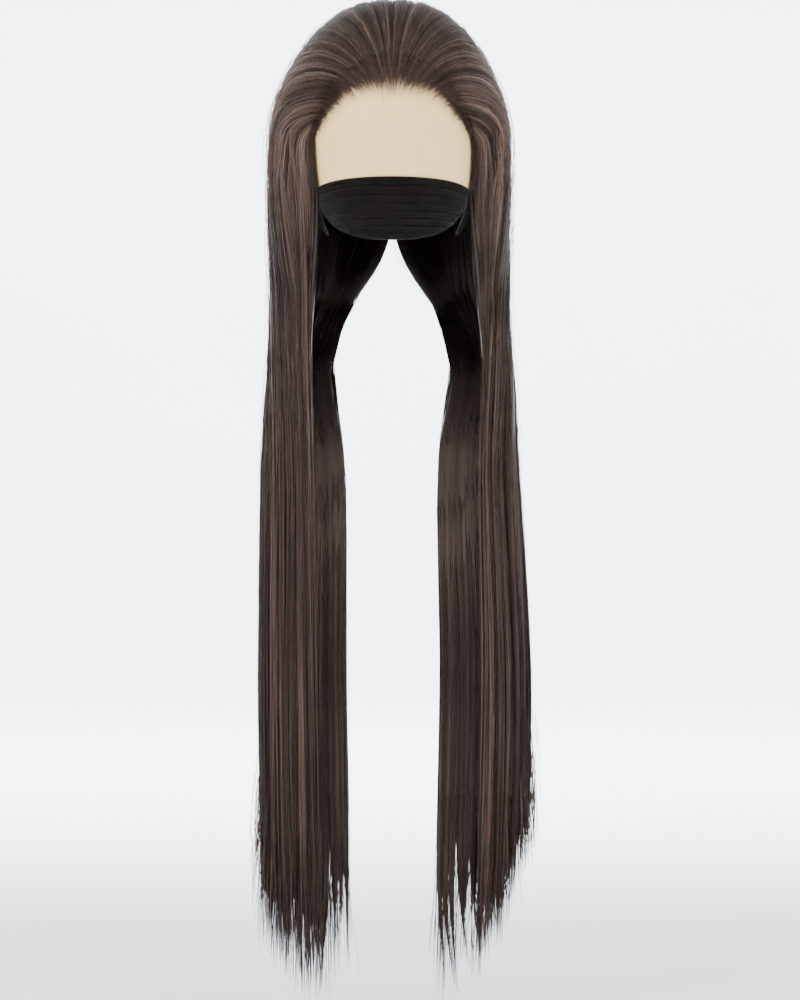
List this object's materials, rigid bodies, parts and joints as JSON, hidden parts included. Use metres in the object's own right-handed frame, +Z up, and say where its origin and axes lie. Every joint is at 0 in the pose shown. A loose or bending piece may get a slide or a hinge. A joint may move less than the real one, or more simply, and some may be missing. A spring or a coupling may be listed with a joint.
{
  "type": "lace front wig",
  "caption": "Very long straight dark brown hair brushed back from a sheer lace front, parted at the nape and brought forward over both shoulders, on a thin net cap.",
  "frame": {"origin": "inside top of the cap, where the wig sits on the crown of the head", "axes": "+Z up, -Y the way that the face looks, +X to the right of someone who looks at the face"},
  "size_m": [0.2358, 0.2209, 0.8875],
  "materials": {
    "lace": "sheer tan net",
    "cap": "dark stretch net",
    "tab": "dark woven fabric",
    "hair": "smooth straight fibre, low sheen"
  },
  "bodies": {
    "root": {"lace_front": "lace", "wig_cap": "cap", "ear_tab_left": "tab", "ear_tab_right": "tab", "front_hair_left": "hair", "front_hair_right": "hair", "back_hair_left": "hair", "back_hair_right": "hair"}
  },
  "joints": []
}
